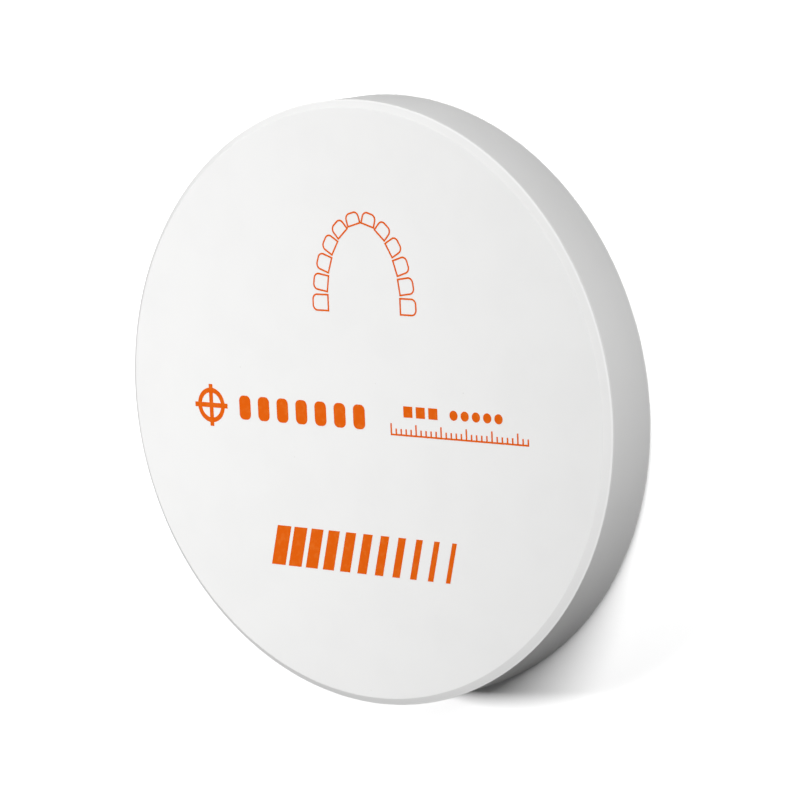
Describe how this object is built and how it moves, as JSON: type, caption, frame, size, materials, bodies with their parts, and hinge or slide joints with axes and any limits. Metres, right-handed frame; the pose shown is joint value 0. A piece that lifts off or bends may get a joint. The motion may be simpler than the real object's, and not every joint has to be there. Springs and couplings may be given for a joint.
{
  "type": "dental milling disc",
  "caption": "Round white milling blank of chalky pre-sintered ceramic with bevelled edges and orange markings on its face, held by its rim while dental crowns are cut from it.",
  "frame": {"origin": "middle of the back face, on the disc's axis, at the surface that the disc lies on", "axes": "+Z along the disc's axis, out of the printed face; +X in the print's reading direction; +Y up the print"},
  "size_m": [0.098, 0.098, 0.012],
  "materials": {
    "zirconia": "matte, chalky, finely machined",
    "orange_ink": "matte ink film"
  },
  "bodies": {
    "root": {"disc": "zirconia", "arch_print": "orange_ink", "register_mark_print": "orange_ink", "tab_row_print": "orange_ink", "square_dot_print": "orange_ink", "rule_print": "orange_ink", "bar_row_print": "orange_ink"}
  },
  "joints": []
}
